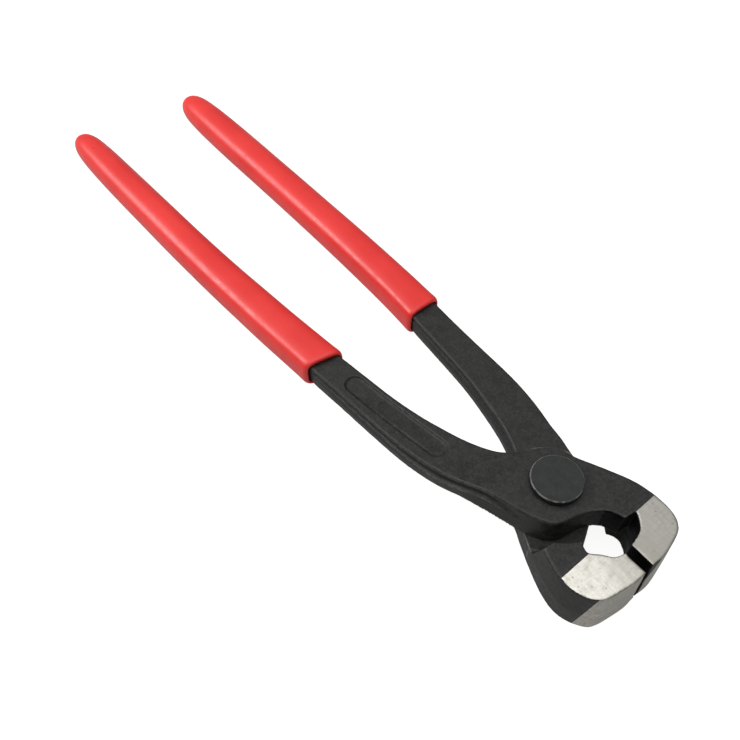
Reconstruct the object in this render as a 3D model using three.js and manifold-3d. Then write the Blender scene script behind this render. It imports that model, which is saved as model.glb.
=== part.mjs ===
// Ear clamp pliers: two forged levers lapped on one rivet, with dipped grips.
// Millimetres, +Z up. +X runs from the handles to the jaws, the rivet axis is
// the Z axis, and Z = 0 is the plane the tool lies on.

import * as THREE from 'three';
import * as BufferGeometryUtils from 'three/addons/utils/BufferGeometryUtils.js';
import Module from 'manifold-3d';

const wasm = await Module();
wasm.setup();

// ---------------------------------------------------------------- dimensions
const HEAD_BOTTOM = 1.7;          // underside of the head above the rest plane
const HEAD_THICK = 15.5;          // both laps together, also the jaw height
const LAP_GAP = 0.3;              // running gap between the two laps
const HEAD_TOP = HEAD_BOTTOM + HEAD_THICK;
const LAP_MID = HEAD_BOTTOM + HEAD_THICK / 2;
const LAP_THICK = (HEAD_THICK - LAP_GAP) / 2;

const DROP_UPPER = 5.1;           // how far the upper arm comes down from its lap
const DROP_LOWER = 0.6;           // how far the lower arm comes down from its lap
const ARM_UPPER = 6.5;            // thickness of the upper arm
const ARM_LOWER = 6.3;            // thickness of the lower arm
const TANG_THICK = 5.9;           // both arms inside their grips
const PARTING = 0.5;              // how far the forging swells at its parting line
const EDGE = 0.45;                // broken edge of the forging

const RECESS_R = 12.4;            // clearance around the other lever's boss
const RECESS_FLARE = 2.5;         // how far that wall leans back
const RIVET_R = 6.15;
const RIVET_HEAD = 1.7;
const SHANK_R = 4.0;
const BORE_R = 4.3;
const SEAT_GAP = 0.15;
const TAIL_R = 5.9;

const PAD_X = 16.3;               // ground side faces start here
const PAD_FALL = 0.03;            // and fall this much per millimetre
const FRONT_LEAN = 0.6;           // how far the ground front leans out towards the underside
const SLIT_HALF = 1.2;            // half the width of the crimping slot
const SLIT_FLOOR = 1.6;           // height of the lips that meet below the slot
const SLIT_LOW = 0.16;            // half the gap between those lips

const PANEL_BACK = [-53.2, -15.6];
const PANEL_FRONT = [-25.4, -12.9];
const PANEL_R = 2.6;
const PANEL_DEPTH = 0.6;

const GRIP_FIT = 0.3;             // gap between steel and sleeve
const MOUTH_LEAN = 1.9;           // how far the upper grip's mouth leans back at its outer side
const TANG_END = -181.0;

// ------------------------------------------------------------------- helpers
function curve(points, perSpan) {
  const c = new THREE.CatmullRomCurve3(
    points.map(([x, y]) => new THREE.Vector3(x, y, 0)), false, 'centripetal');
  return c.getPoints(perSpan * (points.length - 1)).map((p) => [p.x, p.y]);
}

function table(rows) {
  // smooth value of a table at x, the rows running from high x to low x
  const xs = rows.map((r) => r[0]);
  const ys = rows.map((r) => r[1]);
  return (x) => {
    let i = 0;
    while (i < xs.length - 2 && x < xs[i + 1]) i += 1;
    const h = xs[i + 1] - xs[i];
    const t = THREE.MathUtils.clamp((x - xs[i]) / h, 0, 1);
    const slope = (k) => {
      const a = Math.max(0, k - 1);
      const b = Math.min(xs.length - 1, k + 1);
      return (ys[b] - ys[a]) / (xs[b] - xs[a]);
    };
    const m0 = slope(i) * h;
    const m1 = slope(i + 1) * h;
    const t2 = t * t;
    const t3 = t2 * t;
    return (2 * t3 - 3 * t2 + 1) * ys[i] + (t3 - 2 * t2 + t) * m0
      + (-2 * t3 + 3 * t2) * ys[i + 1] + (t3 - t2) * m1;
  };
}

function counterClockwise(outline) {
  const pts = outline.map(([x, y]) => new THREE.Vector2(x, y));
  return THREE.ShapeUtils.area(pts) > 0 ? outline : outline.slice().reverse();
}

function inset(outline, d) {
  const n = outline.length;
  return outline.map((p, i) => {
    const a = outline[(i + n - 1) % n];
    const b = outline[(i + 1) % n];
    const e1 = new THREE.Vector2(p[0] - a[0], p[1] - a[1]).normalize();
    const e2 = new THREE.Vector2(b[0] - p[0], b[1] - p[1]).normalize();
    const m = new THREE.Vector2(-e1.y - e2.y, e1.x + e2.x);
    const len = m.length() || 1;
    m.divideScalar(len);
    const k = Math.min(1.6, 2 / len);
    return [p[0] + m.x * d * k, p[1] + m.y * d * k];
  });
}

function geometryFrom(positions, index) {
  const g = new THREE.BufferGeometry();
  g.setAttribute('position', new THREE.Float32BufferAttribute(positions, 3));
  g.setIndex(index);
  return g;
}

// closed upright body: levels are [z, inset of the outline at that height]
function prism(outline, levels) {
  const base = counterClockwise(outline);
  const n = base.length;
  const pos = [];
  const index = [];
  levels.forEach(([z, d]) => inset(base, d).forEach(([x, y]) => pos.push(x, y, z)));
  for (let k = 0; k < levels.length - 1; k += 1) {
    for (let i = 0; i < n; i += 1) {
      const a = k * n + i;
      const b = k * n + ((i + 1) % n);
      index.push(a, b, b + n, a, b + n, a + n);
    }
  }
  const cap = (k, up) => {
    const ring = inset(base, levels[k][1]).map(([x, y]) => new THREE.Vector2(x, y));
    THREE.ShapeUtils.triangulateShape(ring, []).forEach(([a, b, c]) => {
      if (up) index.push(k * n + a, k * n + b, k * n + c);
      else index.push(k * n + a, k * n + c, k * n + b);
    });
  };
  cap(0, false);
  cap(levels.length - 1, true);
  return geometryFrom(pos, index);
}

// closed body through a row of rings, each an array of [x, y, z]
function loft(rings) {
  const n = rings[0].length;
  const pos = [];
  const index = [];
  rings.forEach((r) => r.forEach((p) => pos.push(...p)));
  for (let k = 0; k < rings.length - 1; k += 1) {
    for (let i = 0; i < n; i += 1) {
      const a = k * n + i;
      const b = k * n + ((i + 1) % n);
      index.push(a, b, b + n, a, b + n, a + n);
    }
  }
  const centre = (r) => r.reduce((s, p) => [s[0] + p[0] / n, s[1] + p[1] / n, s[2] + p[2] / n], [0, 0, 0]);
  const c0 = pos.length / 3;
  pos.push(...centre(rings[0]));
  const c1 = pos.length / 3;
  pos.push(...centre(rings[rings.length - 1]));
  const last = (rings.length - 1) * n;
  for (let i = 0; i < n; i += 1) {
    const j = (i + 1) % n;
    index.push(c0, j, i);
    index.push(c1, last + i, last + j);
  }
  return geometryFrom(pos, index);
}

function solid(geometry) {
  let g = geometry.clone();
  g.deleteAttribute('normal');
  g.deleteAttribute('uv');
  g = BufferGeometryUtils.mergeVertices(g, 1e-5);
  const build = (triVerts) => new wasm.Manifold(new wasm.Mesh({
    numProp: 3,
    vertProperties: new Float32Array(g.attributes.position.array),
    triVerts,
  }));
  const idx = new Uint32Array(g.index.array);
  const m = build(idx);
  if (m.volume() > 0) return m;
  for (let i = 0; i < idx.length; i += 3) {
    const t = idx[i + 1];
    idx[i + 1] = idx[i + 2];
    idx[i + 2] = t;
  }
  return build(idx);
}

function meshFrom(manifold, name, material) {
  const m = manifold.getMesh();
  const pos = [];
  for (let i = 0; i < m.vertProperties.length; i += m.numProp) {
    pos.push(m.vertProperties[i], m.vertProperties[i + 1], m.vertProperties[i + 2]);
  }
  const g = geometryFrom(pos, Array.from(m.triVerts));
  g.computeVertexNormals();
  const mesh = new THREE.Mesh(g, material);
  mesh.name = name;
  return mesh;
}

function cylinder(r, z0, z1, segments = 48, r1 = r) {
  const g = new THREE.CylinderGeometry(r1, r, z1 - z0, segments);
  g.rotateX(Math.PI / 2);
  g.translate(0, 0, (z0 + z1) / 2);
  return solid(g);
}

// ---------------------------------------------------- the forging, seen above
// arm on the -Y side behind the rivet, jaw on the +Y side in front of it
const SIDE_UPPER = curve([
  [-7.0, -13.4], [-3.6, -12.45], [-0.8, -11.7], [2.3, -10.7], [4.7, -9.55], [6.35, -8.5],
  [7.45, -7.2], [8.1, -5.6], [8.6, -3.8], [9.05, -2.0], [9.75, -0.3], [10.6, 1.1], [11.4, 2.2],
  [12.4, 3.3], [13.7, 4.3], [15.75, 5.0]], 3);
const SIDE_LOWER = curve([
  [-7.0, -13.4], [-3.6, -12.45], [-0.8, -11.7], [2.3, -10.7], [4.6, -9.5], [6.5, -8.0],
  [7.9, -6.1], [8.9, -4.0], [9.8, -2.2], [10.6, -0.7], [11.3, 0.6], [11.9, 1.8],
  [12.7, 3.2], [13.9, 4.4], [15.75, 5.2]], 3);
// outer edge of each jaw, from the front to the joint
const JAW_EDGE_UPPER = [
  [26.7, 1.0], [26.92, 3.7], [26.65, 6.2], [26.2, 8.4], [25.65, 10.5], [24.95, 12.2],
  [23.65, 13.65], [21.6, 14.6], [18.6, 15.0], [15.5, 14.95], [11.6, 14.35], [6.2, 12.3],
  [1.6, 10.2]];
const JAW_EDGE_LOWER = [
  [26.75, 1.0], [26.85, 3.6], [26.55, 6.2], [26.15, 8.6], [25.7, 10.9], [24.8, 13.2],
  [23.35, 14.7], [21.3, 15.85], [18.5, 16.5], [15.4, 16.2], [11.6, 15.05], [6.2, 12.7],
  [1.6, 10.4]];
const JAW_ROOT = [[-1.2, 8.9], [-3.1, 8.25], [-5.0, 7.75], [-7.0, 6.55]];
const lapOutline = (edge, side) => [...side, [16.4, 1.0], [17.5, 0.0], [edge[0][0], 0.0],
  ...curve([...edge, ...JAW_ROOT], 3)];
const jawOutline = (edge) => [[10.0, 0.0], [edge[0][0], 0.0], ...curve(edge, 3), [2.0, 8.0]];

// hollow between the jaws, one side of it: in each lever at its lap, and at its
// full-height jaw
const HOLLOW_SIDE = [[16.15, 8.2], [17.0, 7.75], [18.0, 7.05], [19.3, 5.85], [19.95, 4.65], [20.4, 2.8],
  [20.7, 1.0], [20.8, -1.0]];
const HOLLOW_UPPER_LAP = [[9.0, -4.0], [9.3, -1.6], [9.9, 0.3], [10.65, 1.65], [11.6, 2.9],
  [12.8, 3.9], [15.75, 4.9], ...curve(HOLLOW_SIDE, 4), [20.8, -4.0]];
const HOLLOW_LOWER_LAP = [[13.5, -4.0], [13.5, 2.8], [15.1, 4.0], [15.75, 4.9],
  ...curve(HOLLOW_SIDE, 4), [20.8, -4.0]];
const HOLLOW_UPPER_JAW = [
  [9.0, -4.0], [9.0, 2.4],
  ...curve([[10.6, 3.4], [11.6, 4.9], [12.4, 6.3], [13.4, 7.3], [14.9, 8.05], [16.3, 8.1],
    [17.5, 7.5], [18.7, 6.75], [19.6, 5.5], [20.2, 4.0], [20.6, 2.3], [20.8, 1.0],
    [20.8, -1.0]], 4), [20.8, -4.0]];
const HOLLOW_LOWER_JAW = [
  [9.0, -4.0], [9.0, 2.4],
  ...curve([[10.6, 3.4], [11.7, 4.8], [12.9, 6.0], [14.3, 6.85], [15.9, 7.3], [16.95, 6.55],
    [17.7, 5.75], [18.6, 4.98], [19.6, 4.25], [20.35, 3.45], [20.8, 2.3], [21.0, 1.0],
    [21.0, -1.0]], 4), [21.0, -4.0]];

// wall of the recess that the other lever's boss turns in
const RECESS = [];
for (let i = 0; i <= 40; i += 1) {
  const t = -1.35 + ((0.9 + 1.35) * i) / 40;
  RECESS.push([RECESS_R * Math.cos(t), RECESS_R * Math.sin(t)]);
}
RECESS.push([7.25, 11.3], [6.95, 13.6], [6.7, 22.0], [-14.0, 22.0], [-14.0, -12.0]);

const IN_ROWS = [
  [-5.0, 7.75], [-6.7, 6.75], [-8.0, 5.4], [-9.0, 3.6], [-9.9, 1.8], [-11.3, -0.1], [-13.1, -2.0],
  [-15.0, -3.4], [-20.0, -5.5], [-25.0, -7.0], [-30.0, -8.2], [-35.0, -9.3], [-42.0, -10.4],
  [-53.0, -11.6], [-63.0, -12.75]];
const OUT_ROWS = [
  [-5.0, -12.8], [-7.0, -13.4], [-10.0, -14.35], [-15.0, -16.05], [-20.0, -17.45], [-25.0, -18.45],
  [-30.0, -19.15], [-35.0, -19.55], [-42.0, -19.9], [-53.0, -20.5], [-63.0, -21.25]];

// handle centre lines, distance from the long axis
const CENTRE_UPPER = [
  [-63.0, 17.1], [-74.0, 17.92], [-84.0, 18.65], [-95.0, 19.3], [-106.0, 19.92], [-118.0, 20.39],
  [-131.0, 20.75], [-144.0, 20.96], [-158.0, 21.16], [-170.0, 21.3], [-193.1, 21.4]];
const CENTRE_LOWER = [
  [-63.0, 17.2], [-74.0, 17.94], [-84.0, 18.38], [-95.0, 18.75], [-106.0, 18.99], [-118.0, 19.16],
  [-131.0, 19.3], [-144.0, 19.4], [-158.0, 19.5], [-170.0, 19.58], [-193.1, 19.77]];
const TANG_HALF = table([
  [-66.0, 3.95], [-75.0, 3.6], [-95.0, 3.45], [-131.0, 3.3], [-160.0, 3.2], [-176.0, 2.9],
  [-181.0, 2.5]]);
const TANG_X = [-66.0, -75.0, -95.0, -118.0, -144.0, -160.0, -176.0, -181.0];

function armEdges(centreRows) {
  const centre = table(centreRows);
  return {
    inner: table([...IN_ROWS, ...TANG_X.map((x) => [x, -centre(x) + TANG_HALF(x)])]),
    outer: table([...OUT_ROWS, ...TANG_X.map((x) => [x, -centre(x) - TANG_HALF(x)])]),
  };
}

// share of the fall that the top and the underside of an arm have made by x
const FALL_TOP = table([
  [-5.0, 0], [-7.5, 0], [-10.0, 0.08], [-13.0, 0.24], [-18.0, 0.48], [-26.0, 0.7], [-36.0, 0.88],
  [-46.0, 1], [-63.0, 1], [-195.0, 1]]);
const FALL_UNDER = table([
  [-5.0, 0], [-12.5, 0], [-14.0, 0.07], [-16.0, 0.26], [-18.0, 0.44], [-22.0, 0.62], [-28.0, 0.76],
  [-36.0, 0.89], [-46.0, 1], [-63.0, 1], [-195.0, 1]]);
const FALL_OUTSIDE = table([
  [-5.0, 0], [-7.6, 0], [-9.5, 0.05], [-12.0, 0.15], [-14.0, 0.25], [-16.0, 0.36], [-18.0, 0.47],
  [-22.0, 0.62], [-28.0, 0.76], [-36.0, 0.89], [-46.0, 1], [-63.0, 1], [-195.0, 1]]);
const TANG_SHARE = table([[-5.0, 0], [-61.0, 0], [-63.0, 0.1], [-68.0, 0.8], [-75.0, 1], [-195.0, 1]]);

// how far the section at x still has the lap's form, and its parting swell
const LAP_SHARE = table([[-5.0, 1], [-8.6, 1], [-11.0, 0.6], [-15.0, 0], [-30.0, 0], [-195.0, 0]]);
const SWELL = table([[-5.0, PARTING], [-20.0, PARTING], [-52.0, PARTING], [-62.0, 0.15],
  [-70.0, 0.1], [-195.0, 0.1]]);

// steel section at x, grown by an even amount
function armRing(x, arm, grow) {
  const yi = arm.edges.inner(x) + grow;
  const yo = arm.edges.outer(x) - grow;
  const thin = (TANG_SHARE(x) * (arm.thick - TANG_THICK)) / 2;
  const top = arm.lapHigh - arm.drop * FALL_TOP(x) - thin + grow;
  const fall = arm.lapLow - (arm.lapHigh - arm.drop - arm.thick);
  const low = arm.lapLow - fall * FALL_UNDER(x) + thin - grow;
  const lowOut = arm.lapLow - fall * FALL_OUTSIDE(x) + thin - grow;
  const mid = (top + low) / 2;
  const share = THREE.MathUtils.clamp(LAP_SHARE(x), 0, 1);
  const swell = SWELL(x) * (1 - share / 2);
  const lapOut = PARTING * share;
  const lapEdge = EDGE * (1 - share) + 0.02 * share;
  const [outT, edgeT] = arm.up > 0 ? [0, EDGE] : [lapOut, lapEdge];
  const [outL, edgeL] = arm.up > 0 ? [lapOut, lapEdge] : [0, EDGE];
  return [
    [x, yo - outT, top - edgeT], [x, yo - swell, mid],
    [x, yo - outL, lowOut + edgeL], [x, yo - outL + edgeL, lowOut],
    [x, yi + outL - edgeL, low], [x, yi + outL, low + edgeL],
    [x, yi + swell, mid], [x, yi + outT, top - edgeT],
    [x, yi + outT - edgeT, top], [x, yo - outT + edgeT, top]];
}

const ARM_STATIONS = [-5.6, -6.3, -7.0, -7.6, -8.2, -8.8, -9.4, -10.0, -10.7, -11.4, -12.1, -12.8,
  -13.5, -14.2, -15.0, -16.0, -17.0, -18.0, -19.0, -20.5, -22, -24, -26, -28.5, -31, -34, -37, -40,
  -43, -46, -50, -54, -58, -61, -63, -64.5, -66, -68, -71, -75, -83, -91, -101, -110, -120, -135,
  -150, -160, -170, -176];

// the front of the jaws is ground straight, without the parting swell
function groundFront(geometry) {
  const p = geometry.attributes.position;
  for (let i = 0; i < p.count; i += 1) {
    const z = p.getZ(i);
    const high = THREE.MathUtils.clamp((HEAD_TOP - z) / (HEAD_TOP - LAP_MID), 0, 1);
    const low = THREE.MathUtils.clamp((LAP_MID - z) / (LAP_MID - HEAD_BOTTOM), 0, 1);
    const shift = (FRONT_LEAN / 2) * (high + low) - PARTING * (high - low);
    p.setX(i, p.getX(i) + shift * THREE.MathUtils.smoothstep(p.getX(i), 22.8, 25.2));
  }
  return geometry;
}

// one lever; lapLow and lapHigh bound its lap, otherFar is the far face of the
// other lever's lap, which this lever's jaw also reaches
function lever(arm, otherFar) {
  const { up } = arm;
  const far = up > 0 ? arm.lapHigh : arm.lapLow;
  const near = up > 0 ? arm.lapLow : arm.lapHigh;
  const sorted = (rows) => rows.slice().sort((a, b) => a[0] - b[0]);

  let lap = solid(groundFront(prism(lapOutline(arm.jawEdge, arm.side),
    sorted([[near, -PARTING], [far - up * EDGE, 0], [far, EDGE]]))));
  lap = lap.subtract(solid(prism(arm.hollowLap, sorted([[near - up * 1, 0], [far + up * 1, 0]]))));

  let jaw = solid(groundFront(prism(jawOutline(arm.jawEdge), sorted([[near + up * 2.0, 0.7],
    [near + up * 0.01, 0.7], [near, -PARTING], [otherFar + up * EDGE, 0], [otherFar, EDGE]]))));
  jaw = jaw.subtract(solid(prism(arm.hollowJaw,
    sorted([[near, 0], [otherFar - up * 1, 0]]))));
  jaw = jaw.subtract(solid(prism(RECESS,
    sorted([[near, 0], [otherFar, -RECESS_FLARE], [otherFar - up * 1, -RECESS_FLARE]]))));
  const above = solid(prism([[-20, -20], [40, -20], [40, 30], [-20, 30]],
    sorted([[near, 0], [near + up * 4, 0]])));
  jaw = jaw.subtract(above.subtract(lap));

  const rings = ARM_STATIONS.map((x) => armRing(x, arm, x > -7.3 ? -0.01 : 0));
  const end = armRing(TANG_END, arm, -0.7);
  rings.push(end);
  let body = lap.add(jaw).add(solid(loft(rings)));
  body = body.subtract(cylinder(BORE_R, HEAD_BOTTOM - 5, HEAD_TOP + 5, 56));
  return body;
}

// half of the crimping slot, the part of it that lies in the +Y jaw
function slotTool() {
  const low = HEAD_BOTTOM;
  const floor = low + SLIT_FLOOR;
  const shape = [[-9, low - 3], [SLIT_LOW, low - 3], [SLIT_LOW, floor - 0.25],
    [SLIT_HALF - 0.15, floor], [SLIT_HALF, HEAD_TOP], [SLIT_HALF, HEAD_TOP + 3], [-9, HEAD_TOP + 3]];
  const ring = (x) => shape.map(([y, z]) => [x, y, z]);
  const pos = [];
  const index = [];
  const n = shape.length;
  [19.5, 31].forEach((x) => ring(x).forEach((p) => pos.push(...p)));
  for (let i = 0; i < n; i += 1) {
    const j = (i + 1) % n;
    index.push(i, j, j + n, i, j + n, i + n);
  }
  const flat = shape.map(([y, z]) => new THREE.Vector2(y, z));
  THREE.ShapeUtils.triangulateShape(flat, []).forEach(([a, b, c]) => {
    index.push(a, c, b);
    index.push(n + a, n + b, n + c);
  });
  return solid(geometryFrom(pos, index));
}

// material ground off the side faces of the jaws
function groundTool(z, up) {
  const rise = (x) => z - up * PAD_FALL * (x - PAD_X);
  const x0 = PAD_X;
  const x1 = 34;
  const pts = [];
  [[x0, rise(x0)], [x1, rise(x1)], [x1, z + up * 3], [x0, z + up * 3]].forEach(([x, zz]) => {
    pts.push([x, -40, zz], [x, 40, zz]);
  });
  const pos = pts.flat();
  const index = [0, 2, 3, 0, 3, 1, 2, 4, 5, 2, 5, 3, 4, 6, 7, 4, 7, 5, 6, 0, 1, 6, 1, 7,
    0, 4, 2, 0, 6, 4, 1, 3, 5, 1, 5, 7];
  return solid(geometryFrom(pos, index));
}

function mirrored(manifold) {
  const m = manifold.getMesh();
  const v = new Float32Array(m.vertProperties);
  for (let i = 0; i < v.length; i += m.numProp) v[i + 1] = -v[i + 1];
  const t = new Uint32Array(m.triVerts);
  for (let i = 0; i < t.length; i += 3) {
    const s = t[i + 1];
    t[i + 1] = t[i + 2];
    t[i + 2] = s;
  }
  return new wasm.Manifold(new wasm.Mesh({ numProp: 3, vertProperties: v, triVerts: t }));
}

// --------------------------------------------------------------- the levers
const UPPER = {
  up: 1,
  jawEdge: JAW_EDGE_UPPER,
  side: SIDE_UPPER,
  hollowLap: HOLLOW_UPPER_LAP,
  hollowJaw: HOLLOW_UPPER_JAW,
  lapLow: LAP_MID + LAP_GAP / 2,
  lapHigh: HEAD_TOP,
  drop: DROP_UPPER,
  thick: ARM_UPPER,
  edges: armEdges(CENTRE_UPPER),
};
const LOWER = {
  up: -1,
  jawEdge: JAW_EDGE_LOWER,
  side: SIDE_LOWER,
  hollowLap: HOLLOW_LOWER_LAP,
  hollowJaw: HOLLOW_LOWER_JAW,
  lapLow: HEAD_BOTTOM,
  lapHigh: LAP_MID - LAP_GAP / 2,
  drop: DROP_LOWER,
  thick: ARM_LOWER,
  edges: armEdges(CENTRE_LOWER),
};

const trim = slotTool().add(groundTool(HEAD_TOP, 1)).add(groundTool(HEAD_BOTTOM, -1));

let upper = lever(UPPER, HEAD_BOTTOM).subtract(trim);
const lower = mirrored(lever(LOWER, HEAD_TOP).subtract(trim));

// shallow oblong panel in the top of the upper arm
function panelTool() {
  const a = new THREE.Vector2(...PANEL_BACK);
  const b = new THREE.Vector2(...PANEL_FRONT);
  const turn = Math.atan2(b.y - a.y, b.x - a.x);
  const outline = [];
  const arc = (c, from) => {
    for (let i = 0; i <= 16; i += 1) {
      const t = from + (Math.PI * i) / 16;
      outline.push([c.x + PANEL_R * Math.cos(t), c.y + PANEL_R * Math.sin(t)]);
    }
  };
  const side = (p, q, at) => {
    for (let i = 1; i < 14; i += 1) {
      const m = p.clone().lerp(q, i / 14);
      outline.push([m.x + PANEL_R * Math.cos(at), m.y + PANEL_R * Math.sin(at)]);
    }
  };
  arc(b, turn - Math.PI / 2);
  side(b, a, turn + Math.PI / 2);
  arc(a, turn + Math.PI / 2);
  side(a, b, turn - Math.PI / 2);
  const g = prism(outline, [[-PANEL_DEPTH, 0.2], [0, -0.05], [4, -0.05]]);
  const p = g.attributes.position;
  const topAt = (x) => UPPER.lapHigh - UPPER.drop * FALL_TOP(x);
  for (let i = 0; i < p.count; i += 1) p.setZ(i, p.getZ(i) + topAt(p.getX(i)));
  return solid(g);
}
upper = upper.subtract(panelTool());

// ---------------------------------------------------------------- the rivet
function rivet() {
  const low = HEAD_BOTTOM - SEAT_GAP;
  const high = HEAD_TOP + SEAT_GAP;
  const profile = [
    [0, 0], [TAIL_R - 1.3, 0], [TAIL_R - 0.45, 0.35], [TAIL_R, 0.95], [TAIL_R, low],
    [SHANK_R, low], [SHANK_R, high], [RIVET_R, high], [RIVET_R, high + RIVET_HEAD - 0.3],
    [RIVET_R - 0.25, high + RIVET_HEAD], [0, high + RIVET_HEAD]];
  return solid(new THREE.LatheGeometry(
    profile.map(([r, z]) => new THREE.Vector2(r, z)), 64).rotateX(Math.PI / 2));
}

// ---------------------------------------------------------------- the grips
const GRIP_ROWS = [
  // x, half width, half height of a round-cornered section
  [-63.0, 5.0, 4.4], [-63.35, 5.35, 4.75], [-64.0, 5.6, 4.9], [-65.2, 5.62, 4.9],
  [-67.0, 5.55, 4.85], [-72.0, 5.45, 4.85], [-80.0, 5.35, 4.85], [-91.0, 5.25, 4.8],
  [-105.0, 5.1, 4.75], [-118.0, 5.0, 4.7], [-131.0, 4.95, 4.7], [-144.0, 4.9, 4.65],
  [-158.0, 4.85, 4.6], [-168.0, 4.75, 4.55], [-176.0, 4.6, 4.45], [-182.0, 4.35, 4.25],
  [-186.5, 4.0, 3.95], [-189.5, 3.45, 3.45], [-191.4, 2.75, 2.8], [-192.5, 1.95, 2.0],
  [-193.0, 1.1, 1.15], [-193.1, 0.5, 0.5]];

// squareness of the section, and the even factor that keeps its slanted width
const GRIP_POWER = table([
  [-63.0, 3.5], [-72.0, 3.3], [-90.0, 2.85], [-112.0, 2.55], [-140.0, 2.35], [-170.0, 2.2], [-193.1, 2.1]]);
function slantWidth(a, b, power) {
  const q = power / (power - 1);
  return ((a * 0.902) ** q + (b * 0.432) ** q) ** (1 / q);
}

const LEAN_SHARE = table([[-58.0, 1], [-63.0, 1], [-66.0, 0.9], [-80.0, 0], [-100.0, 0], [-195.0, 0]]);

// how much fuller each grip is than the rows
const FULL_UPPER = table([
  [-63.0, 1.065], [-98.0, 1.068], [-133.0, 1.062], [-165.0, 1.045], [-193.1, 1.045]]);
const FULL_LOWER = table([
  [-63.0, 1.05], [-85.0, 1.058], [-103.0, 1.075], [-122.0, 1.088], [-140.0, 1.1],
  [-158.0, 1.12], [-193.1, 1.13]]);

function grip(arm, centreRows, lean, full) {
  const n = 40;
  const centre = table(centreRows);
  const z = arm.lapHigh - arm.drop - arm.thick / 2;
  const rings = GRIP_ROWS.map(([x, wide, high]) => {
    const ring = [];
    const power = GRIP_POWER(x);
    const fit = slantWidth(wide, high, 2.7) / slantWidth(wide, high, power);
    const a = wide * fit * (1 + 1.1 * (full(x) - 1));
    const b = high * fit * (1 + 0.6 * (full(x) - 1));
    for (let i = 0; i < n; i += 1) {
      const t = (2 * Math.PI * i) / n;
      const cs = Math.cos(t);
      const sn = Math.sin(t);
      const k = 2 / power;
      const y = a * Math.sign(cs) * Math.abs(cs) ** k;
      const back = (lean * LEAN_SHARE(x) * (a - y)) / (2 * a);
      ring.push([x - back, -centre(x) + y, z + b * Math.sign(sn) * Math.abs(sn) ** k]);
    }
    return ring;
  });
  const inside = ARM_STATIONS.filter((x) => x <= -58).map((x) => armRing(x, arm, GRIP_FIT));
  inside.push(armRing(TANG_END - GRIP_FIT, arm, GRIP_FIT - 0.5));
  return solid(loft(rings)).subtract(solid(loft(inside)));
}

// ---------------------------------------------------------------- assembly
const steel = () => new THREE.MeshStandardMaterial({ color: 0x393b39, roughness: 0.55, metalness: 0.7 });
const rivetSteel = () => new THREE.MeshStandardMaterial({ color: 0x3c4040, roughness: 0.5, metalness: 0.75 });
const vinyl = () => new THREE.MeshStandardMaterial({ color: 0xe43e3e, roughness: 0.45, metalness: 0.0 });

const pliers = new THREE.Group();
pliers.name = 'ear_clamp_pliers';

const lowerHalf = new THREE.Group();
lowerHalf.name = 'lower_half';
lowerHalf.add(meshFrom(lower, 'lever_lower', steel()));
lowerHalf.add(meshFrom(mirrored(grip(LOWER, CENTRE_LOWER, 0, FULL_LOWER)), 'grip_lower', vinyl()));
lowerHalf.add(meshFrom(rivet(), 'pivot_rivet', rivetSteel()));

const upperHalf = new THREE.Group();
upperHalf.name = 'upper_half';
upperHalf.add(meshFrom(upper, 'lever_upper', steel()));
upperHalf.add(meshFrom(grip(UPPER, CENTRE_UPPER, MOUTH_LEAN, FULL_UPPER), 'grip_upper', vinyl()));

pliers.add(lowerHalf, upperHalf);

export default pliers;
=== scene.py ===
import math

import bmesh
import bpy
import numpy as np
from mathutils import Matrix, Vector, noise


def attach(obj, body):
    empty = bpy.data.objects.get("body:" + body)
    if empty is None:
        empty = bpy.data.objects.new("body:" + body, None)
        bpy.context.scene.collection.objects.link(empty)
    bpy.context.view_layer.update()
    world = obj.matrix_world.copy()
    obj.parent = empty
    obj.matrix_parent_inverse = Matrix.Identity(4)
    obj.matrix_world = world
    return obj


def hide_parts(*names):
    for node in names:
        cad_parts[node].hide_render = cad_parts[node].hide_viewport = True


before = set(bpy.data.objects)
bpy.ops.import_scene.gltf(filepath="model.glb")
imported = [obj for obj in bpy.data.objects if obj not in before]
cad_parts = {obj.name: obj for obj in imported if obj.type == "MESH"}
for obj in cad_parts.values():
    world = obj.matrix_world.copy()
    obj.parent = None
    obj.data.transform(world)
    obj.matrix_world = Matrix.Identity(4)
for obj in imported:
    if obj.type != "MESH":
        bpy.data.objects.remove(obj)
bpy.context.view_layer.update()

MM = 0.001
scene = bpy.context.scene

# ---------------------------------------------------------------- dimensions
# millimetres, the same values that drive the solids
HEAD_BOTTOM, HEAD_TOP = 1.7, 17.2
PAD_X, PAD_FALL = 16.3, 0.03
RIVET_R, TAIL_R, SHANK_R = 6.15, 5.9, 4.0
RIVET_LOW, RIVET_HIGH, RIVET_TOP = 1.55, 17.35, 19.05
TANG_END = -181.0

GRIP_ROWS = [
    (-63.0, 5.0, 4.4), (-63.35, 5.35, 4.75), (-64.0, 5.6, 4.9), (-65.2, 5.62, 4.9),
    (-67.0, 5.55, 4.85), (-72.0, 5.45, 4.85), (-80.0, 5.35, 4.85), (-91.0, 5.25, 4.8),
    (-105.0, 5.1, 4.75), (-118.0, 5.0, 4.7), (-131.0, 4.95, 4.7), (-144.0, 4.9, 4.65),
    (-158.0, 4.85, 4.6), (-168.0, 4.75, 4.55), (-176.0, 4.6, 4.45), (-182.0, 4.35, 4.25),
    (-186.5, 4.0, 3.95), (-189.5, 3.45, 3.45), (-191.4, 2.75, 2.8), (-192.5, 1.95, 2.0),
    (-193.0, 1.1, 1.15), (-193.06, 0.5, 0.5)]
CENTRE_UPPER = [
    (-63.0, 17.1), (-74.0, 17.92), (-84.0, 18.65), (-95.0, 19.3), (-106.0, 19.92), (-118.0, 20.39),
    (-131.0, 20.75), (-144.0, 20.96), (-158.0, 21.16), (-170.0, 21.3), (-193.1, 21.4)]
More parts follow.
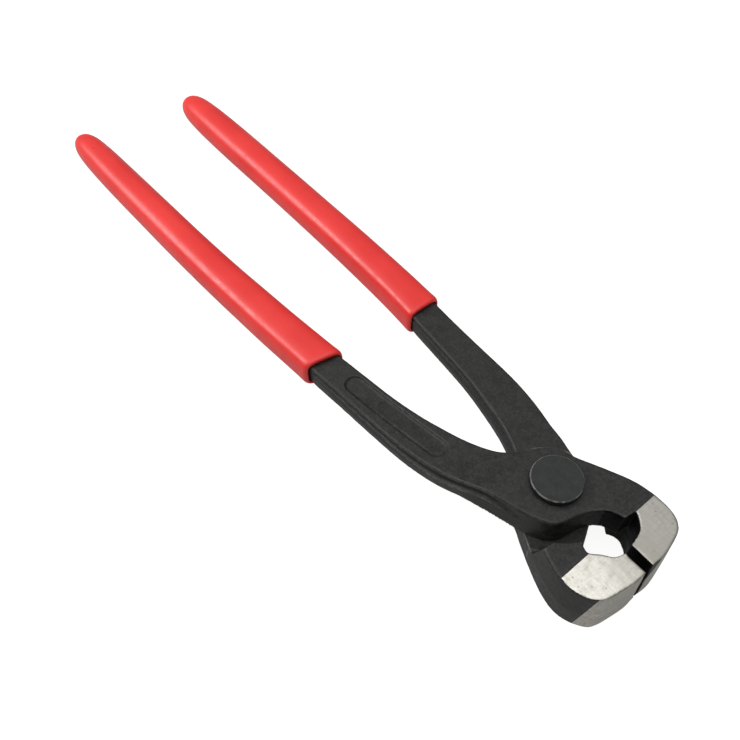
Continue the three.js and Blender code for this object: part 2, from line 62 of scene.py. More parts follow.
CENTRE_LOWER = [
    (-63.0, 17.2), (-74.0, 17.94), (-84.0, 18.38), (-95.0, 18.75), (-106.0, 18.99), (-118.0, 19.16),
    (-131.0, 19.3), (-144.0, 19.4), (-158.0, 19.5), (-170.0, 19.58), (-193.1, 19.77)]
GRIP_POWER = [(-63.0, 3.5), (-72.0, 3.3), (-90.0, 2.85), (-112.0, 2.55), (-140.0, 2.35), (-170.0, 2.2), (-193.1, 2.1)]
FULL = {
    "upper": [(-63.0, 1.065), (-98.0, 1.068), (-133.0, 1.062), (-165.0, 1.045), (-193.1, 1.045)],
    "lower": [(-63.0, 1.05), (-85.0, 1.058), (-103.0, 1.075), (-122.0, 1.088), (-140.0, 1.1),
              (-158.0, 1.12), (-193.1, 1.13)]}
MOUTH_LEAN = 1.9
LEAN_SHARE = [(-58.0, 1.0), (-63.0, 1.0), (-66.0, 0.9), (-80.0, 0.0), (-100.0, 0.0), (-195.0, 0.0)]
TANG_HALF = [
    (-63.0, 4.25), (-66.0, 3.95), (-75.0, 3.6), (-95.0, 3.45), (-131.0, 3.3), (-160.0, 3.2), (-176.0, 2.9),
    (-181.0, 2.5), (-182.0, 2.4)]
# middle heights of the two arms
GRIP_Z = {"upper": 12.1 - 3.25, "lower": 8.7 - 3.15}


# ------------------------------------------------------------------- helpers
def table(rows):
    xs = [r[0] for r in rows]
    ys = [r[1] for r in rows]

    def slope(k):
        a, b = max(0, k - 1), min(len(xs) - 1, k + 1)
        return (ys[b] - ys[a]) / (xs[b] - xs[a])

    def at(x):
        i = 0
        while i < len(xs) - 2 and x < xs[i + 1]:
            i += 1
        h = xs[i + 1] - xs[i]
        t = min(1.0, max(0.0, (x - xs[i]) / h))
        m0, m1 = slope(i) * h, slope(i + 1) * h
        t2, t3 = t * t, t * t * t
        return ((2 * t3 - 3 * t2 + 1) * ys[i] + (t3 - 2 * t2 + t) * m0
                + (-2 * t3 + 3 * t2) * ys[i + 1] + (t3 - t2) * m1)
    return at


def new_object(name, mesh):
    ob = bpy.data.objects.new(name, mesh)
    scene.collection.objects.link(ob)
    return ob


def smooth_shade(mesh):
    mesh.polygons.foreach_set("use_smooth", [True] * len(mesh.polygons))
    mesh.update()


def coordinates(mesh):
    co = np.empty(len(mesh.vertices) * 3, dtype=np.float32)
    mesh.vertices.foreach_get("co", co)
    return co.reshape(-1, 3).astype(np.float64)


def normals(mesh):
    no = np.empty(len(mesh.vertices) * 3, dtype=np.float32)
    mesh.vertex_normals.foreach_get("vector", no)
    return no.reshape(-1, 3).astype(np.float64)


def links(mesh):
    ed = np.empty(len(mesh.edges) * 2, dtype=np.int32)
    mesh.edges.foreach_get("vertices", ed)
    return ed.reshape(-1, 2)


def neighbour_mean(values, ed):
    n = len(values)
    count = np.bincount(ed.ravel(), minlength=n).astype(np.float64)
    cols = values.reshape(n, -1)
    out = np.empty_like(cols)
    for c in range(cols.shape[1]):
        out[:, c] = (np.bincount(ed[:, 0], cols[ed[:, 1], c], n) + np.bincount(ed[:, 1], cols[ed[:, 0], c], n)) / np.maximum(count, 1)
    return out.reshape(values.shape)


def step(a, b, x):
    t = np.clip((x - a) / (b - a), 0.0, 1.0)
    return t * t * (3 - 2 * t)


def cloud(points, scale, seed):
    off = Vector((seed * 17.3, seed * -9.1, seed * 4.7))
    return np.array([noise.noise(Vector(p) * scale + off) for p in points])


def float_attribute(mesh, name, values):
    a = mesh.attributes.new(name, "FLOAT", "POINT")
    a.data.foreach_set("value", values.astype(np.float32))


# --------------------------------------------------------------- the levers
VOXEL = 0.24 * MM


def forged(node, name):
    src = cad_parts[node]
    start = src.data.copy()
    start.materials.clear()
    bm = bmesh.new()
    bm.from_mesh(start)
    bmesh.ops.remove_doubles(bm, verts=bm.verts, dist=1e-7)
    bm.to_mesh(start)
    bm.free()
    work = new_object(name + "_work", start)
    grid = work.modifiers.new("grid", "REMESH")
    grid.mode = "VOXEL"
    grid.voxel_size = VOXEL
    grid.adaptivity = 0.0
    soft = work.modifiers.new("soft", "SMOOTH")
    soft.factor = 0.5
    soft.iterations = 3
    dg = bpy.context.evaluated_depsgraph_get()
    mesh = bpy.data.meshes.new_from_object(work.evaluated_get(dg))
    mesh.name = name
    bpy.data.objects.remove(work)
    bpy.data.meshes.remove(start)
    smooth_shade(mesh)

    co = coordinates(mesh)
    no = normals(mesh)
    ed = links(mesh)
    mm = co / MM
    x, y, z = mm.T

    # bright ground faces: both side pads and the front of the jaw
    top = (step(PAD_X - 0.15, PAD_X + 0.15, x) * step(0.80, 0.92, no[:, 2])
           * step(HEAD_TOP - 0.5, HEAD_TOP - 0.3, z + PAD_FALL * np.maximum(x - PAD_X, 0)))
    low = (step(PAD_X - 0.15, PAD_X + 0.15, x) * step(0.80, 0.92, -no[:, 2])
           * step(-HEAD_BOTTOM - 0.5, -HEAD_BOTTOM - 0.3, -z + PAD_FALL * np.maximum(x - PAD_X, 0)))
    start_x = 22.3 + (24.6 - 22.3) * np.clip((z - HEAD_BOTTOM) / (HEAD_TOP - HEAD_BOTTOM), 0, 1)
    front = (step(-0.15, 0.15, x - start_x) * step(0.2, 0.4, no[:, 0]) * (1 - step(0.75, 0.9, np.abs(no[:, 2]))))
    if node == "lever_upper":
        front = front * step(-0.15, 0.15, y - 1.2 - 2.7 * np.clip((z - 10.0) / 7.0, 0, 1))
    ground = np.maximum(np.maximum(top, low), front)
    # walls of the hole and the slot, which the material paints dark as shade
    hole_shade = ((np.hypot(x - 15.5, y) < 9.5) | ((x > 18) & (np.abs(y) < 1.6))) & (np.abs(no[:, 2]) < 0.6) & (no[:, 0] < 0.7)
    hole_shade = hole_shade.astype(np.float64) * (1 - ground)

    # scale marks and slow waves of the forging, inwards only
    forge = 1.0 - ground
    lap = (np.abs(z - 9.45) < 0.6) & (np.abs(no[:, 2]) > 0.7)
    forge[lap] = 0.0
    wave = 0.5 * (cloud(mm, 0.16, 1) + 1.0)
    grain = 0.5 * (cloud(mm, 0.55, 2) + 1.0)
    depth = forge * (0.05 * wave + 0.045 * grain)

    # shallow hollow along the arm's walls under their top edge, widening to the lap
    bins = np.arange(-64.0, -1.0, 1.0)
    crest = np.array([z[np.abs(x - b) < 0.6].max() for b in bins])
    below = np.interp(x, bins, crest) - z
    near_lap = step(-45.0, -14.0, x)
    if node == "lever_upper":
        wide, deep = 1.4 + 1.8 * near_lap, 0.42 + 0.40 * near_lap
        deep = deep * (1 - step(-9.0, 4.0, x))
    else:
        wide, deep = 1.2 + 0.0 * near_lap, 0.30 - 0.16 * near_lap
        deep = deep * (1 - step(-10.0, -4.0, x))
    arm = step(-64.0, -62.6, x) * (1 - step(0.45, 0.75, np.abs(no[:, 2])))
    hollow = step(0.40, 0.40 + 0.65 * wide, below) * (1 - step(0.40 + 0.70 * wide, 0.40 + wide, below))
    depth = depth + deep * arm * hollow
    co = co - no * (depth * MM)[:, None]
    mesh.vertices.foreach_set("co", co.astype(np.float32).ravel())
    mesh.update()

    # how sharp the surface turns: above zero on outer edges, below zero in corners
    turn = ((co - neighbour_mean(co, ed)) * no).sum(1) / VOXEL
    for _ in range(2):
        turn = 0.5 * turn + 0.5 * neighbour_mean(turn, ed)
    float_attribute(mesh, "ground", ground)
    float_attribute(mesh, "front", front)
    float_attribute(mesh, "near_slot", step(-10.5, -3.0, -np.abs(y)) * (0.35 + 0.65 * step(17.5, 23.5, x)))
    for _ in range(2):
        hole_shade = 0.5 * hole_shade + 0.5 * neighbour_mean(hole_shade, ed)
    float_attribute(mesh, "hole_shade", hole_shade)
    float_attribute(mesh, "turn", turn)
    return new_object(name, mesh)


# ---------------------------------------------------------------- the grips
def slant_width(a, b, power):
    q = power / (power - 1)
    return ((a * 0.902) ** q + (b * 0.432) ** q) ** (1 / q)


def even_ring(a, b, power, n):
    t = np.linspace(0, 2 * math.pi, 721)
    k = 2 / power
    y = a * np.sign(np.cos(t)) * np.abs(np.cos(t)) ** k
    z = b * np.sign(np.sin(t)) * np.abs(np.sin(t)) ** k
    s = np.concatenate([[0], np.cumsum(np.hypot(np.diff(y), np.diff(z)))])
    at = np.linspace(0, s[-1], n, endpoint=False)
    return np.interp(at, s, y), np.interp(at, s, z)


def grip(name, side, centre_rows, flip):
    n = 96
    centre = table(centre_rows)
    power = table(GRIP_POWER)
    tang = table(TANG_HALF)
    z0 = GRIP_Z[side]

    # rows followed by distance along the profile, so that the lip and the end stay round
    rows = np.array(GRIP_ROWS)
    s = np.concatenate([[0], np.cumsum(np.hypot(np.diff(rows[:, 0]), np.diff(rows[:, 1])))])
    cols = [table(list(zip((-s).tolist(), rows[:, c].tolist()))) for c in range(3)]
    stations = np.concatenate([
        np.linspace(0, s[4], 22, endpoint=False), np.linspace(s[4], s[13], 96, endpoint=False),
        np.linspace(s[13], s[-1], 44)])

    rings = []

    lean = table(LEAN_SHARE)

    def put(x, y, z):
        sign = 1.0 if flip else -1.0
        half = max(float(y.max()), 0.1)
        back = np.zeros_like(y) if flip else MOUTH_LEAN * lean(x) * (half - y) / (2 * half)
        rings.append(np.column_stack([x - back, sign * centre(x) + y, z0 + z]))

    # inner wall, from its blind end to the mouth
    for x in list(np.linspace(TANG_END - 0.4, -70, 24)) + [-68, -66, -64.6, -63.7, -63.25]:
        ease = 0.22 if x < -63.5 else 0.16
        y, z = even_ring(tang(x) + 0.12 + ease, 2.95 + 0.3 * float(step(-68.0, -63.0, np.float64(x))) + ease, 8.0, n)
        put(x, y, z)
    mouth_y, mouth_z = even_ring(tang(-63.05) + 0.12 + 0.3, 3.25 + 0.3, 7.0, n)
    put(-63.03, mouth_y, mouth_z)
    for d in stations:
        x, wide, high = (c(-d) for c in cols)
        p = power(x)
        fit = slant_width(wide, high, 2.7) / slant_width(wide, high, p)
        more = table(FULL[side])(x) - 1
        y, z = even_ring(wide * fit * (1 + 1.1 * more), high * fit * (1 + 0.6 * more), p, n)
        put(x, y, z)

    verts = [tuple(p) for r in rings for p in r]
    faces = []
    m = len(rings)
    for k in range(m - 1):
        for i in range(n):
            j = (i + 1) % n
            faces.append((k * n + i, k * n + j, (k + 1) * n + j, (k + 1) * n + i))
    first, last = len(verts), len(verts) + 1
    verts.append(tuple(rings[0].mean(0)))
    verts.append(tuple(rings[-1].mean(0) + np.array([-0.02, 0, 0])))
    for i in range(n):
        j = (i + 1) % n
        faces.append((first, j, i))
        faces.append((last, (m - 1) * n + i, (m - 1) * n + j))

    # slack of the dipped skin: long slow waves and a finer ripple, inwards only
    co = np.array(verts)
    mesh = bpy.data.meshes.new(name)
    mesh.from_pydata((co * MM).tolist(), [], faces)
    bm = bmesh.new()
    bm.from_mesh(mesh)
    bmesh.ops.recalc_face_normals(bm, faces=bm.faces)
    bm.to_mesh(mesh)
    bm.free()
    mesh.update()
    no = normals(mesh)
    seed = 5 if flip else 6
    wave = 0.5 * (cloud(co * np.array([0.35, 1, 1]), 0.13, seed) + 1.0)
    wave = 0.06 * wave + 0.02 * 0.5 * (cloud(co * np.array([0.5, 1, 1]), 0.6, seed + 3) + 1.0)
    co = co * MM - no * (wave * MM)[:, None]
    mesh.vertices.foreach_set("co", co.astype(np.float32).ravel())
    smooth_shade(mesh)
    return new_object(name, mesh)


# ---------------------------------------------------------------- the rivet
def rounded(points, corners, steps=6):
    # polyline with its named corners turned into small arcs
    out = []
    for i, p in enumerate(points):
        r = corners.get(i, 0.0)
        if not r:
            out.append(p)
            continue
        a, b = np.array(points[i - 1]), np.array(points[i + 1])
        c = np.array(p)
        u, v = (a - c) / np.linalg.norm(a - c), (b - c) / np.linalg.norm(b - c)
        for k in range(steps + 1):
            t = k / steps
            out.append(tuple((1 - t) ** 2 * (c + u * r) + 2 * t * (1 - t) * c + t * t * (c + v * r)))
    return out


def rivet(name):
    profile = [
        (0, 0.0), (2.2, 0.0), (TAIL_R - 1.3, 0.0), (TAIL_R - 0.45, 0.35), (TAIL_R, 0.95), (TAIL_R, RIVET_LOW), (SHANK_R, RIVET_LOW),
        (SHANK_R, RIVET_HIGH), (RIVET_R, RIVET_HIGH), (RIVET_R, RIVET_TOP - 0.3), (RIVET_R - 0.25, RIVET_TOP),
        (RIVET_R - 0.75, RIVET_TOP - 0.02), (3.4, RIVET_TOP - 0.05), (1.6, RIVET_TOP - 0.04), (0, RIVET_TOP - 0.04)]
    profile = rounded(profile, {2: 0.4, 3: 0.4, 4: 0.35, 5: 0.12, 8: 0.1, 9: 0.1, 10: 0.12, 11: 0.2}, 5)
    n = 144
    verts, faces = [], []
    low = len(verts)
    verts.append((0, 0, profile[0][1]))
    rows = profile[1:-1]
    for r, z in rows:
        for i in range(n):
            t = 2 * math.pi * i / n
            verts.append((r * math.cos(t), r * math.sin(t), z))
    top = len(verts)
    verts.append((0, 0, profile[-1][1]))
    for i in range(n):
        j = (i + 1) % n
        faces.append((low, 1 + j, 1 + i))
        for k in range(len(rows) - 1):
            a, b = 1 + k * n, 1 + (k + 1) * n
            faces.append((a + i, a + j, b + j, b + i))
        a = 1 + (len(rows) - 1) * n
        faces.append((top, a + i, a + j))
    mesh = bpy.data.meshes.new(name)
    mesh.from_pydata([tuple(c * MM for c in v) for v in verts], [], faces)
    bm = bmesh.new()
    bm.from_mesh(mesh)
    bmesh.ops.recalc_face_normals(bm, faces=bm.faces)
    for e in bm.edges:
        if len(e.link_faces) == 2 and e.calc_face_angle() > math.radians(40):
            e.smooth = False
    bm.to_mesh(mesh)
    bm.free()
    smooth_shade(mesh)
    co = coordinates(mesh) / MM
    r = np.hypot(co[:, 0], co[:, 1])
    rim = np.exp(-((r - (RIVET_R - 0.14)) / 0.16) ** 2) * (co[:, 2] > RIVET_TOP - 0.36)
    rim = np.maximum(rim, 0.7 * np.exp(-((r - TAIL_R + 0.6) / 0.4) ** 2) * (co[:, 2] < 0.9))
    float_attribute(mesh, "rim", rim)
    # side: the head's side wall, which the material paints dark as shade
    float_attribute(mesh, "side", ((r > RIVET_R - 0.02) & (co[:, 2] < RIVET_TOP - 0.34) & (co[:, 2] > RIVET_HIGH - 0.1)).astype(np.float64))
    return new_object(name, mesh)


# ---------------------------------------------------------------- materials
class Nodes:
    def __init__(self, name):
        self.mat = bpy.data.materials.new(name)
        self.mat.use_nodes = True
        self.tree = self.mat.node_tree
        self.tree.nodes.clear()
        out = self.tree.nodes.new("ShaderNodeOutputMaterial")
        self.bsdf = self.tree.nodes.new("ShaderNodeBsdfPrincipled")
        self.link(self.bsdf.outputs[0], out.inputs[0])
        self.place = self.tree.nodes.new("ShaderNodeTexCoord").outputs["Object"]

    def link(self, a, b):
        self.tree.links.new(a, b)

    def put(self, socket, value):
        if isinstance(value, bpy.types.NodeSocket):
            self.link(value, socket)
        elif value is not None:
            socket.default_value = value

    def scaled(self, sx, sy, sz):
        n = self.tree.nodes.new("ShaderNodeMapping")
        n.inputs["Scale"].default_value = (sx, sy, sz)
        self.link(self.place, n.inputs["Vector"])
        return n.outputs[0]

    def noise(self, scale, detail=2.0, rough=0.5, vector=None, distort=0.0):
        n = self.tree.nodes.new("ShaderNodeTexNoise")
        n.inputs["Scale"].default_value = scale
        n.inputs["Detail"].default_value = detail
        n.inputs["Roughness"].default_value = rough
        n.inputs["Distortion"].default_value = distort
        self.link(vector or self.place, n.inputs["Vector"])
        return n.outputs["Fac"]

    def cells(self, scale, vector=None, feature="F1"):
        n = self.tree.nodes.new("ShaderNodeTexVoronoi")
        n.feature = feature
        n.inputs["Scale"].default_value = scale
        self.link(vector or self.place, n.inputs["Vector"])
        return n

    def attribute(self, name):
        n = self.tree.nodes.new("ShaderNodeAttribute")
        n.attribute_name = name
        return n.outputs["Fac"]

    def span(self, value, a, b, lo=0.0, hi=1.0, smooth=True):
        n = self.tree.nodes.new("ShaderNodeMapRange")
        n.interpolation_type = "SMOOTHSTEP" if smooth else "LINEAR"
        n.inputs["From Min"].default_value = a
        n.inputs["From Max"].default_value = b
        n.inputs["To Min"].default_value = lo
        n.inputs["To Max"].default_value = hi
        self.put(n.inputs["Value"], value)
        return n.outputs["Result"]

    def math(self, op, a, b=None, c=None):
        n = self.tree.nodes.new("ShaderNodeMath")
        n.operation = op
        self.put(n.inputs[0], a)
        self.put(n.inputs[1], b)
        self.put(n.inputs[2], c)
        return n.outputs[0]

    def mix(self, fac, a, b):
        n = self.tree.nodes.new("ShaderNodeMix")
        n.data_type = "RGBA"
        self.put(n.inputs["Factor"], fac)
        for key, v in (("A", a), ("B", b)):
            socket = [s for s in n.inputs if s.name == key and s.type == "RGBA"][0]
            self.put(socket, (*v, 1.0) if isinstance(v, tuple) and len(v) == 3 else v)
        return [s for s in n.outputs if s.type == "RGBA"][0]

    def blend(self, fac, a, b):
        n = self.tree.nodes.new("ShaderNodeMix")
        n.data_type = "FLOAT"
        self.put(n.inputs[0], fac)
        self.put(n.inputs[2], a)
        self.put(n.inputs[3], b)
        return n.outputs[0]

    def bump(self, height, distance, strength=1.0, normal=None):
        n = self.tree.nodes.new("ShaderNodeBump")
        n.inputs["Strength"].default_value = strength
        n.inputs["Distance"].default_value = distance
        self.put(n.inputs["Height"], height)
        if normal is not None:
            self.link(normal, n.inputs["Normal"])
        return n.outputs[0]


def black_steel(name, painted_pad_light, rub_ring):
    m = Nodes(name)
    b = m.bsdf
    ground = m.attribute("ground")
    turn = m.attribute("turn")

    # black oxide: mottled, a little brown where thin, scuffed along its edges and given a painted highlight there
    mottle = m.noise(420.0, 4.0, 0.6)
    fine = m.noise(1500.0, 3.0, 0.6)
    slow = m.noise(70.0, 2.0, 0.5)
    base = m.mix(m.span(mottle, 0.34, 0.66), (0.0085, 0.0090, 0.0085), (0.0190, 0.0198, 0.0184))
    base = m.mix(m.math("MULTIPLY", m.span(slow, 0.45, 0.75), 0.35), base, (0.022, 0.0215, 0.019))
    base = m.mix(m.math("MULTIPLY", m.span(fine, 0.52, 0.68), 0.55), base, (0.034, 0.034, 0.032))
    base = m.mix(m.math("MULTIPLY", m.span(fine, 0.46, 0.34), 0.60), base, (0.003, 0.003, 0.003))
    broken = m.span(m.noise(900.0, 4.0, 0.65), 0.40, 0.62)
    # lighter along the outer edges: scuffs, together with a painted highlight on the edges
    edge_wear_and_highlight = m.math("MULTIPLY", m.span(turn, 0.035, 0.13), m.blend(broken, 0.35, 1.0))
    base = m.mix(m.math("MULTIPLY", edge_wear_and_highlight, 0.60), base, (0.120, 0.118, 0.110))
    # painted shade: darker in corners and creases
    corner_shade = m.span(turn, -0.04, -0.14)
    base = m.mix(m.math("MULTIPLY", corner_shade, 0.7), base, (0.006, 0.006, 0.006))
    # painted shade: the walls of the hole and the slot made near black
    base = m.mix(m.math("MULTIPLY", m.attribute("hole_shade"), 0.85), base, (0.0035, 0.0035, 0.0035))
    # thin handling scratches in two directions
    for turn_by, where in ((0.6, 31.0), (2.1, 47.0)):
        spin = m.tree.nodes.new("ShaderNodeMapping")
        spin.inputs["Rotation"].default_value = (0.0, 0.0, turn_by)
        spin.inputs["Scale"].default_value = (90.0, 2400.0, 400.0)
        spin.inputs["Location"].default_value = (where, 3.0, 1.0)
        m.link(m.place, spin.inputs["Vector"])
        line = m.span(m.noise(1.0, 2.0, 0.4, vector=spin.outputs[0]), 0.735, 0.79)
        line = m.math("MULTIPLY", line, m.span(m.noise(130.0, 2.0), 0.5, 0.65))
        base = m.mix(m.math("MULTIPLY", line, 0.5), base, (0.110, 0.108, 0.102))
    if rub_ring:
        # ring rubbed by the other lever's boss
        part = m.tree.nodes.new("ShaderNodeSeparateXYZ")
        m.link(m.place, part.inputs[0])
        r = m.math("SQRT", m.math("ADD", m.math("MULTIPLY", part.outputs[0], part.outputs[0]),
                                  m.math("MULTIPLY", part.outputs[1], part.outputs[1])))
        wobble = m.math("MULTIPLY", m.math("SUBTRACT", m.noise(160.0, 2.0), 0.5), 0.0008)
        off = m.math("ABSOLUTE", m.math("SUBTRACT", m.math("ADD", r, wobble), rub_ring))
        ring = m.math("MULTIPLY", m.span(off, 0.00028, 0.00005), m.span(m.noise(520.0, 3.0), 0.42, 0.6))
        base = m.mix(m.math("MULTIPLY", ring, 0.65), base, (0.13, 0.128, 0.12))

    # ground steel: long fine streaks, freckles and a few pits
    streak = m.noise(1.0, 3.0, 0.6, vector=m.scaled(260.0, 3600.0, 900.0))
    streak2 = m.noise(1.0, 2.0, 0.6, vector=m.scaled(1900.0, 420.0, 1100.0))
    freckle = m.noise(1500.0, 3.0, 0.6)
    blotch = m.noise(420.0, 4.0, 0.6)
    # painted light: the pads' brightness scaled per lever
    t = painted_pad_light
    bright = m.mix(m.span(streak, 0.2, 0.8), (0.62 * t, 0.605 * t, 0.555 * t), (0.80 * t, 0.785 * t, 0.72 * t))
    bright = m.mix(m.math("MULTIPLY", m.span(streak2, 0.45, 0.7), 0.35), bright, (0.50 * t, 0.485 * t, 0.445 * t))
    bright = m.mix(m.math("MULTIPLY", m.span(freckle, 0.60, 0.74), 0.5), bright, (0.42, 0.395, 0.36))
    bright = m.mix(m.math("MULTIPLY", m.span(blotch, 0.47, 0.66), 0.45), bright, (0.45, 0.42, 0.37))
    # the jaw's front face gets a darker ground colour than the pads, as painted shade
    end = m.mix(m.span(streak2, 0.35, 0.7), (0.40, 0.380, 0.335), (0.54, 0.515, 0.46))
    bright = m.mix(m.attribute("front"), bright, end)
    pit = m.cells(520.0)
    bright = m.mix(m.math("MULTIPLY", m.span(pit.outputs["Distance"], 0.16, 0.08), 0.45), bright, (0.20, 0.18, 0.16))

    grey = m.math("MULTIPLY", m.attribute("near_slot"), m.span(m.noise(260.0, 3.0, 0.6), 0.25, 0.6, 0.45, 0.9))
    bright = m.mix(m.math("MULTIPLY", grey, 0.62), bright, (0.40, 0.385, 0.335))
    # painted shade: darker brown on the ground pads' rounded edges
    pad_edge_shade = m.math("MULTIPLY", m.span(turn, 0.012, 0.09), m.span(m.noise(600.0, 3.0), 0.25, 0.6))
    bright = m.mix(m.math("MULTIPLY", pad_edge_shade, 0.6), bright, (0.24, 0.215, 0.18))

    wander = m.math("MULTIPLY", m.math("SUBTRACT", m.noise(1400.0, 3.0), 0.5), 0.5)
    mask = m.span(m.math("ADD", ground, wander), 0.42, 0.58)
    m.put(b.inputs["Base Color"], m.mix(mask, base, bright))
    # painted shade: the hole's walls made metallic on a near-black base, so they reflect little
    hole_shade_metal = m.math("MULTIPLY", m.attribute("hole_shade"), 0.9)
    m.put(b.inputs["Metallic"], m.math("MAXIMUM", m.math("MULTIPLY", mask, 0.92), hole_shade_metal))
    rough_black = m.blend(m.span(mottle, 0.3, 0.7), 0.46, 0.62)
    rough_black = m.math("SUBTRACT", rough_black, m.math("MULTIPLY", edge_wear_and_highlight, 0.10))
    rough_bright = m.blend(m.span(streak, 0.25, 0.75), 0.34, 0.46)
    m.put(b.inputs["Roughness"], m.blend(mask, rough_black, rough_bright))
    b.inputs["Specular IOR Level"].default_value = 0.36

    skin = m.math("ADD", m.math("MULTIPLY", m.noise(1500.0, 4.0, 0.6), 0.6), m.math("MULTIPLY", fine, 0.4))
    cut = m.math("ADD", m.math("MULTIPLY", streak, 0.35), m.math("MULTIPLY", streak2, 0.12))
    height = m.blend(mask, skin, cut)
    m.put(b.inputs["Normal"], m.bump(height, 0.00006, 0.8))
    return m.mat


def rivet_steel(name):
    m = Nodes(name)
    b = m.bsdf
    rim = m.attribute("rim")
    mottle = m.noise(520.0, 4.0, 0.6)
    fine = m.noise(2400.0, 3.0, 0.6)
    base = m.mix(m.span(mottle, 0.3, 0.72), (0.0085, 0.0110, 0.0110), (0.0190, 0.0225, 0.0222))
    base = m.mix(m.math("MULTIPLY", m.span(fine, 0.60, 0.76), 0.35), base, (0.060, 0.064, 0.062))
    worn = m.math("MULTIPLY", m.span(rim, 0.35, 0.8), m.span(m.noise(700.0, 4.0, 0.6), 0.36, 0.56))
    base = m.mix(m.math("MULTIPLY", worn, 0.7), base, (0.19, 0.19, 0.18))
    # painted shade: the head's side wall made nearly black
    base = m.mix(m.math("MULTIPLY", m.attribute("side"), 0.8), base, (0.003, 0.0034, 0.0034))
    m.put(b.inputs["Base Color"], base)
    m.put(b.inputs["Roughness"], m.math("SUBTRACT", m.blend(m.span(mottle, 0.3, 0.7), 0.44, 0.58), m.math("MULTIPLY", worn, 0.08)))
    b.inputs["Specular IOR Level"].default_value = 0.38
    # faint lathe rings on the end faces
    wave = m.tree.nodes.new("ShaderNodeTexWave")
    wave.wave_type = "RINGS"
    wave.rings_direction = "Z"
    wave.inputs["Scale"].default_value = 620.0
    wave.inputs["Distortion"].default_value = 1.2
    m.link(m.place, wave.inputs["Vector"])
    height = m.math("ADD", m.math("MULTIPLY", wave.outputs["Fac"], 0.10), m.math("MULTIPLY", m.noise(1500.0, 4.0, 0.6), 0.6))
    m.put(b.inputs["Normal"], m.bump(height, 0.00005, 0.7))
    return m.mat


def red_vinyl(name, seed):
    m = Nodes(name)
    b = m.bsdf
    shift = m.tree.nodes.new("ShaderNodeMapping")
    shift.inputs["Location"].default_value = (seed, seed * 0.37, seed * 0.71)
    m.link(m.place, shift.inputs["Vector"])
    at = shift.outputs[0]
    slow = m.noise(55.0, 2.0, 0.5, vector=at)
    mid = m.noise(420.0, 3.0, 0.55, vector=at)
    base = m.mix(m.span(slow, 0.35, 0.65), (0.680, 0.0240, 0.0205), (0.745, 0.0330, 0.0285))
    base = m.mix(m.math("MULTIPLY", m.span(mid, 0.55, 0.75), 0.30), base, (0.600, 0.0185, 0.0165))
    # dust specks
    speck = m.cells(210.0, vector=at)
    keep = m.span(m.noise(180.0, 1.0, 0.5, vector=at), 0.60, 0.66)
    dot = m.math("MULTIPLY", m.span(speck.outputs["Distance"], 0.075, 0.04), keep)
    base = m.mix(m.math("MULTIPLY", dot, 0.8), base, (0.16, 0.012, 0.012))
    m.put(b.inputs["Base Color"], base)
    m.put(b.inputs["Roughness"], m.blend(m.span(mid, 0.3, 0.7), 0.33, 0.42))
    b.inputs["Specular IOR Level"].default_value = 0.5
    skin = m.math("ADD", m.math("MULTIPLY", m.noise(900.0, 3.0, 0.55, vector=at), 0.6), m.math("MULTIPLY", m.noise(3200.0, 2.0, 0.5, vector=at), 0.25))
    m.put(b.inputs["Normal"], m.bump(skin, 0.00005, 0.5))
    return m.mat


# ------------------------------------------------------------------ assembly
def show(ob, mat, node, body):
    ob.data.materials.clear()
    ob.data.materials.append(mat)
    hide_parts(node)
    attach(ob, body)


# the lower lever's ground pads painted brighter (1.14) and the upper's darker (0.66), as painted light
show(forged("lever_lower", "forged_lever_lower"), black_steel("black_steel_lower", 1.14, 0.0139), "lever_lower", "lower_half")
show(forged("lever_upper", "forged_lever_upper"), black_steel("black_steel_upper", 0.66, None), "lever_upper", "upper_half")
show(rivet("headed_rivet"), rivet_steel("rivet_steel"), "pivot_rivet", "lower_half")
show(grip("dipped_grip_lower", "lower", CENTRE_LOWER, True), red_vinyl("red_vinyl_lower", 0.3), "grip_lower", "lower_half")
show(grip("dipped_grip_upper", "upper", CENTRE_UPPER, False), red_vinyl("red_vinyl_upper", 1.9), "grip_upper", "upper_half")

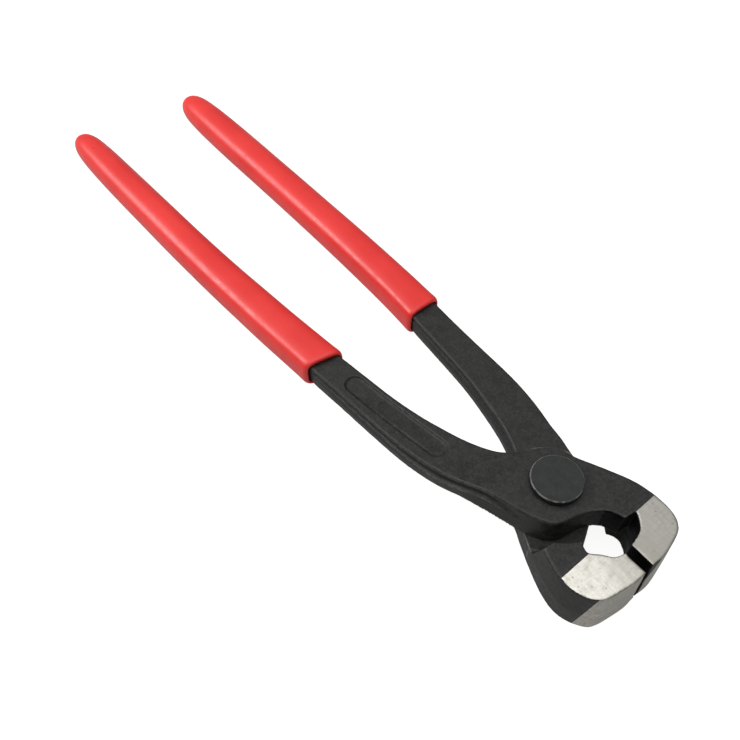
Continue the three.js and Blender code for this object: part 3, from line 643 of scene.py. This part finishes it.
# --------------------------------------------------------------------- stage
floor_mesh = bpy.data.meshes.new("floor")
bm = bmesh.new()
bmesh.ops.create_grid(bm, x_segments=8, y_segments=8, size=30.0)
bm.to_mesh(floor_mesh)
bm.free()
floor = new_object("floor", floor_mesh)
floor.location = (0, 0, -0.0001)
paper = bpy.data.materials.new("white_table")
paper.use_nodes = True
pn = paper.node_tree.nodes["Principled BSDF"]
pn.inputs["Base Color"].default_value = (0.30, 0.30, 0.30, 1.0)
pn.inputs["Roughness"].default_value = 0.8
pn.inputs["Specular IOR Level"].default_value = 0.1
pn.inputs["Emission Color"].default_value = (1.0, 1.0, 0.995, 1.0)
seen = paper.node_tree.nodes.new("ShaderNodeLightPath")
lift = paper.node_tree.nodes.new("ShaderNodeMapRange")
lift.inputs["To Min"].default_value = 0.20
lift.inputs["To Max"].default_value = 0.90
paper.node_tree.links.new(seen.outputs["Is Camera Ray"], lift.inputs["Value"])
paper.node_tree.links.new(lift.outputs[0], pn.inputs["Emission Strength"])
floor_mesh.materials.append(paper)

world = bpy.data.worlds.new("studio")
scene.world = world
world.use_nodes = True
wt = world.node_tree
back = wt.nodes["Background"]
coord = wt.nodes.new("ShaderNodeTexCoord")
parts = wt.nodes.new("ShaderNodeSeparateXYZ")
wt.links.new(coord.outputs["Generated"], parts.inputs[0])
rise = wt.nodes.new("ShaderNodeMapRange")
rise.interpolation_type = "SMOOTHSTEP"
rise.inputs["From Min"].default_value = 0.0
rise.inputs["From Max"].default_value = 0.75
rise.inputs["To Min"].default_value = 0.12
rise.inputs["To Max"].default_value = 0.50
wt.links.new(parts.outputs[2], rise.inputs["Value"])
wt.links.new(rise.outputs[0], back.inputs["Strength"])
back.inputs["Color"].default_value = (1.0, 0.995, 0.985, 1.0)


def area(name, at, towards, size, power, tint=(1, 1, 1)):
    data = bpy.data.lights.new(name, "AREA")
    data.shape = "SQUARE"
    data.size = size
    data.energy = power
    data.color = tint
    ob = bpy.data.objects.new(name, data)
    scene.collection.objects.link(ob)
    ob.location = at
    ob.rotation_euler = (Vector(towards) - Vector(at)).to_track_quat("-Z", "Y").to_euler()
    return ob


area("window_left", (-0.76, -0.56, 0.64), (-0.08, 0.0, 0.0), 0.46, 6.4)
area("ceiling", (-0.10, -0.14, 0.90), (-0.05, 0.0, 0.0), 1.20, 5.4)

cam_data = bpy.data.cameras.new("camera")
cam_data.sensor_width = 36.0
cam_data.lens = 38.92
cam_data.clip_start = 0.005
cam_data.clip_end = 20.0
camera = bpy.data.objects.new("camera", cam_data)
scene.collection.objects.link(camera)
right = Vector((0.6358052, 0.7718488, -0.0010528))
up = Vector((-0.6152111, 0.5075988, 0.6032071))
rear = Vector((0.4661191, -0.3828745, 0.7975839))
turned = Matrix((right, up, rear)).transposed().to_4x4()
camera.matrix_world = Matrix.Translation((0.04202, -0.08886, 0.17682)) @ turned
scene.camera = camera

scene.view_settings.view_transform = "Standard"
